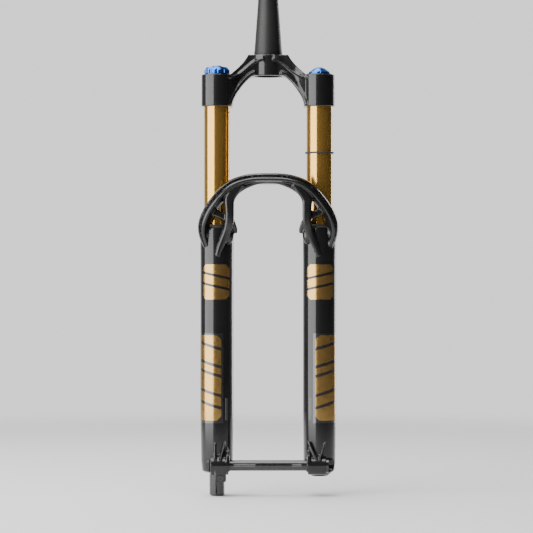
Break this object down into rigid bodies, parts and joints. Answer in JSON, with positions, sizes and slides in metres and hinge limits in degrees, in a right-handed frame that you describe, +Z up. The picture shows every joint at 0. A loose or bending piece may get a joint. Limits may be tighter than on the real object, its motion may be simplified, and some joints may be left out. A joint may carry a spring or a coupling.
{
  "type": "suspension fork",
  "caption": "Single-crown mountain-bike suspension fork with tapered steerer, gold stanchions, black one-piece lowers with arch, blue adjuster caps and through-axle.",
  "frame": {"origin": "on the steerer axis, at the crown race seat's lower face", "axes": "+Z up along the steerer, the front of the fork faces -Y, the rider's left (brake and air side) is +X"},
  "size_m": [0.1988, 0.0914, 0.8269],
  "materials": {
    "steerer_dark": "satin dark anodised",
    "crown_black": "gloss black paint",
    "casting_black": "gloss black paint",
    "stanchion_gold": "hard anodised gold",
    "blue_anodised": "anodised blue",
    "black_anodised": "anodised black",
    "axle_black": "anodised black, satin",
    "silver_alloy": "machined",
    "steel": "brushed",
    "brass_valve": "machined",
    "rubber_black": "matte",
    "foam": "oiled foam",
    "bushing_grey": "lined bushing",
    "spacer_plastic": "moulded"
  },
  "bodies": {
    "uppers": {"steerer_tube": "steerer_dark", "crown": "crown_black", "stanchion_damper": "stanchion_gold", "stanchion_air": "stanchion_gold", "damper_top_cap": "black_anodised", "air_top_cap": "black_anodised", "top_cap_seals": "rubber_black", "damper_cartridge_tube": "silver_alloy", "damper_seal_head": "silver_alloy", "base_valve": "silver_alloy", "air_valve_body": "brass_valve", "volume_spacers": "spacer_plastic", "air_seal_head": "silver_alloy", "snap_ring": "steel", "floating_piston_spring": "steel", "top_out_bumpers": "rubber_black"},
    "lowers": {"lower_casting": "casting_black", "wiper_seals": "rubber_black", "garter_springs": "steel", "foam_rings": "foam", "bushings": "bushing_grey", "damper_shaft": "steel", "damper_piston": "silver_alloy", "damper_piston_ring": "bushing_grey", "air_shaft": "silver_alloy", "air_piston": "silver_alloy", "air_piston_seal": "rubber_black", "bottom_out_bumpers": "rubber_black", "crush_washers": "spacer_plastic", "damper_foot_nut": "silver_alloy", "air_foot_nut": "silver_alloy", "axle_sleeve": "black_anodised", "pinch_bolt": "black_anodised"},
    "compression_knob": {"compression_knob": "blue_anodised"},
    "compression_dial": {"compression_dial": "black_anodised"},
    "air_valve_cap": {"air_valve_cap": "blue_anodised"},
    "air_valve_pin": {"air_valve_pin": "brass_valve"},
    "floating_piston": {"floating_piston": "silver_alloy"},
    "travel_ring": {"travel_ring": "rubber_black"},
    "rebound_high": {"rebound_knob_high": "black_anodised"},
    "rebound_low": {"rebound_knob_low": "black_anodised", "rebound_rod": "silver_alloy"},
    "rebound_cover": {"rebound_cover": "black_anodised"},
    "bleeder_damper": {"bleeder_button_damper": "black_anodised"},
    "bleeder_air": {"bleeder_button_air": "black_anodised"},
    "thru_axle": {"thru_axle": "axle_black"}
  },
  "joints": [
    {"name": "fork_travel", "type": "slide", "parent": "uppers", "child": "lowers", "axis": [0, 0, 1], "range_m": [0, 0.15], "stiffness_N_per_m": 6000, "springref_m": -0.01},
    {"name": "travel_ring_slide", "type": "slide", "parent": "uppers", "child": "travel_ring", "axis": [0, 0, 1], "range_m": [0, 0.0572]},
    {"name": "floating_piston_slide", "type": "slide", "parent": "uppers", "child": "floating_piston", "axis": [0, 0, 1], "range_m": [0, 0.0223], "deforming": ["floating_piston_spring"]},
    {"name": "compression_knob_turn", "type": "hinge", "parent": "uppers", "child": "compression_knob", "pos_m": [-0.0717, -0.026, -0.0227], "axis": [0, 0, 1], "range_deg": [0, 300]},
    {"name": "compression_dial_turn", "type": "hinge", "parent": "uppers", "child": "compression_dial", "pos_m": [-0.0717, -0.026, -0.017], "axis": [0, 0, 1], "range_deg": [0, 300]},
    {"name": "air_valve_cap_lift", "type": "slide", "parent": "uppers", "child": "air_valve_cap", "axis": [0, 0, 1], "range_m": [0, 0.03]},
    {"name": "air_valve_pin_press", "type": "slide", "parent": "uppers", "child": "air_valve_pin", "axis": [0, 0, -1], "range_m": [0, 0.0009], "stiffness_N_per_m": 500, "springref_m": -0.001},
    {"name": "rebound_high_turn", "type": "hinge", "parent": "lowers", "child": "rebound_high", "pos_m": [-0.0717, -0.026, -0.6], "axis": [0, 0, 1], "range_deg": [0, 300]},
    {"name": "rebound_low_turn", "type": "hinge", "parent": "lowers", "child": "rebound_low", "pos_m": [-0.0717, -0.026, -0.605], "axis": [0, 0, 1], "range_deg": [0, 300]},
    {"name": "rebound_cover_pull", "type": "slide", "parent": "lowers", "child": "rebound_cover", "axis": [0, 0, -1], "range_m": [0, 0.04]},
    {"name": "bleeder_damper_press", "type": "slide", "parent": "lowers", "child": "bleeder_damper", "axis": [0, -1, 0], "range_m": [0, 0.001], "stiffness_N_per_m": 500, "springref_m": -0.001},
    {"name": "bleeder_air_press", "type": "slide", "parent": "lowers", "child": "bleeder_air", "axis": [0, -1, 0], "range_m": [0, 0.001], "stiffness_N_per_m": 500, "springref_m": -0.001},
    {"name": "axle_withdraw", "type": "slide", "parent": "lowers", "child": "thru_axle", "axis": [1, 0, 0], "range_m": [0, 0.165]}
  ],
  "couplings": [
    {"joint": "travel_ring_slide", "follows": "fork_travel", "ratio": 0.38},
    {"joint": "floating_piston_slide", "follows": "fork_travel", "ratio": 0.148}
  ]
}
